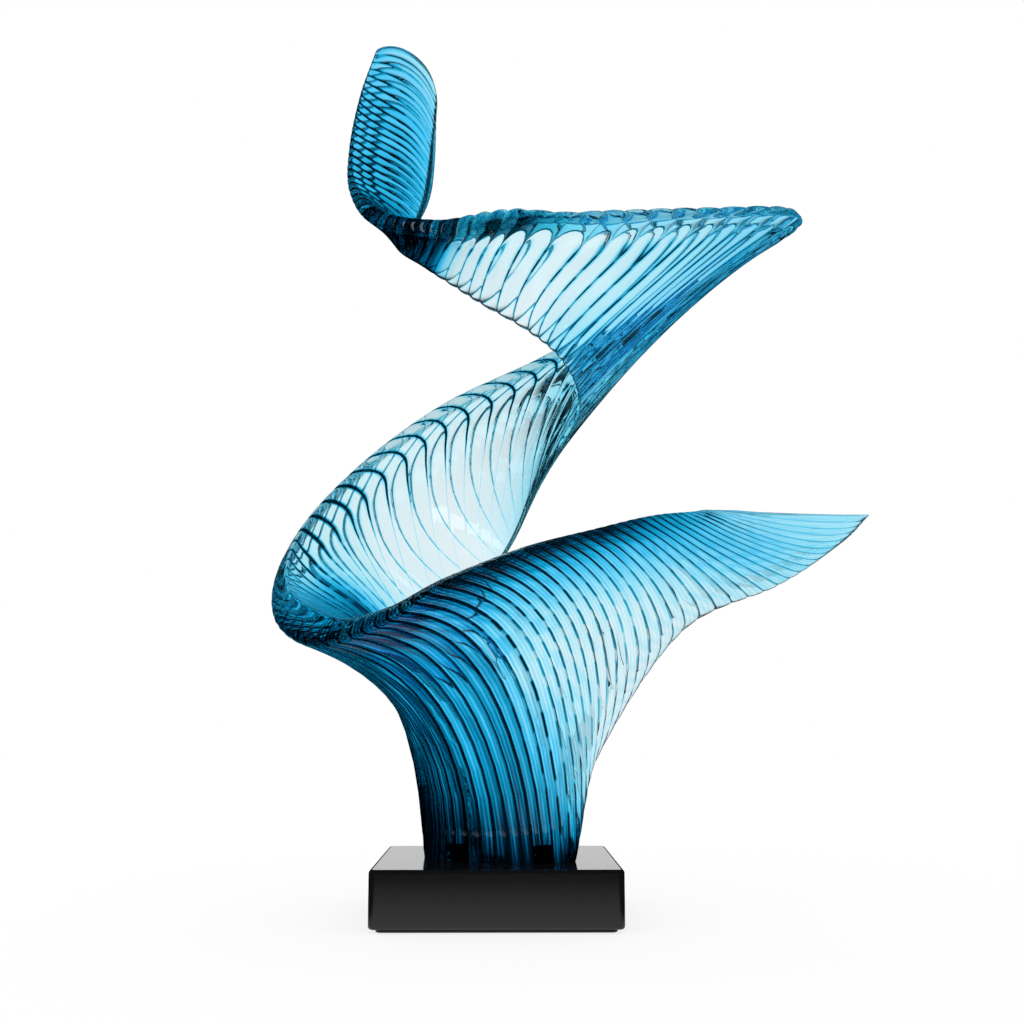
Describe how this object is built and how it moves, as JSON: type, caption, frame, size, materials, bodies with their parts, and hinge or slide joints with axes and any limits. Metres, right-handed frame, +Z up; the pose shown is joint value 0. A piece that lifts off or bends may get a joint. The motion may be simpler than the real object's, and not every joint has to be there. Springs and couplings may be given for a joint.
{
  "type": "abstract resin sculpture",
  "caption": "Tall abstract ornament: a ribbed ribbon of clear blue resin that winds upward in open loops from a square gloss black plinth with felt underneath.",
  "frame": {"origin": "middle of the felt's resting face, under the middle of the plinth", "axes": "+Z up, +X to the viewer's right, +Y away from the viewer of the picture"},
  "size_m": [0.4025, 0.1782, 0.5966],
  "materials": {
    "clear_blue_resin": "polished, clear, tinted blue all through",
    "black_lacquer": "sprayed black lacquer over fibreboard, high gloss",
    "black_felt": "pressed wool felt",
    "zinc_plated_steel": "bright zinc plate",
    "blackened_brass": "turned, then blackened"
  },
  "bodies": {
    "root": {"resin_ribbon": "clear_blue_resin", "plinth": "black_lacquer", "felt_sheet": "black_felt", "fixing_screw_left": "zinc_plated_steel", "fixing_screw_right": "zinc_plated_steel", "flat_washer_left": "zinc_plated_steel", "flat_washer_right": "zinc_plated_steel", "spring_washer_left": "zinc_plated_steel", "spring_washer_right": "zinc_plated_steel", "threaded_insert_left": "blackened_brass", "threaded_insert_right": "blackened_brass"}
  },
  "joints": []
}
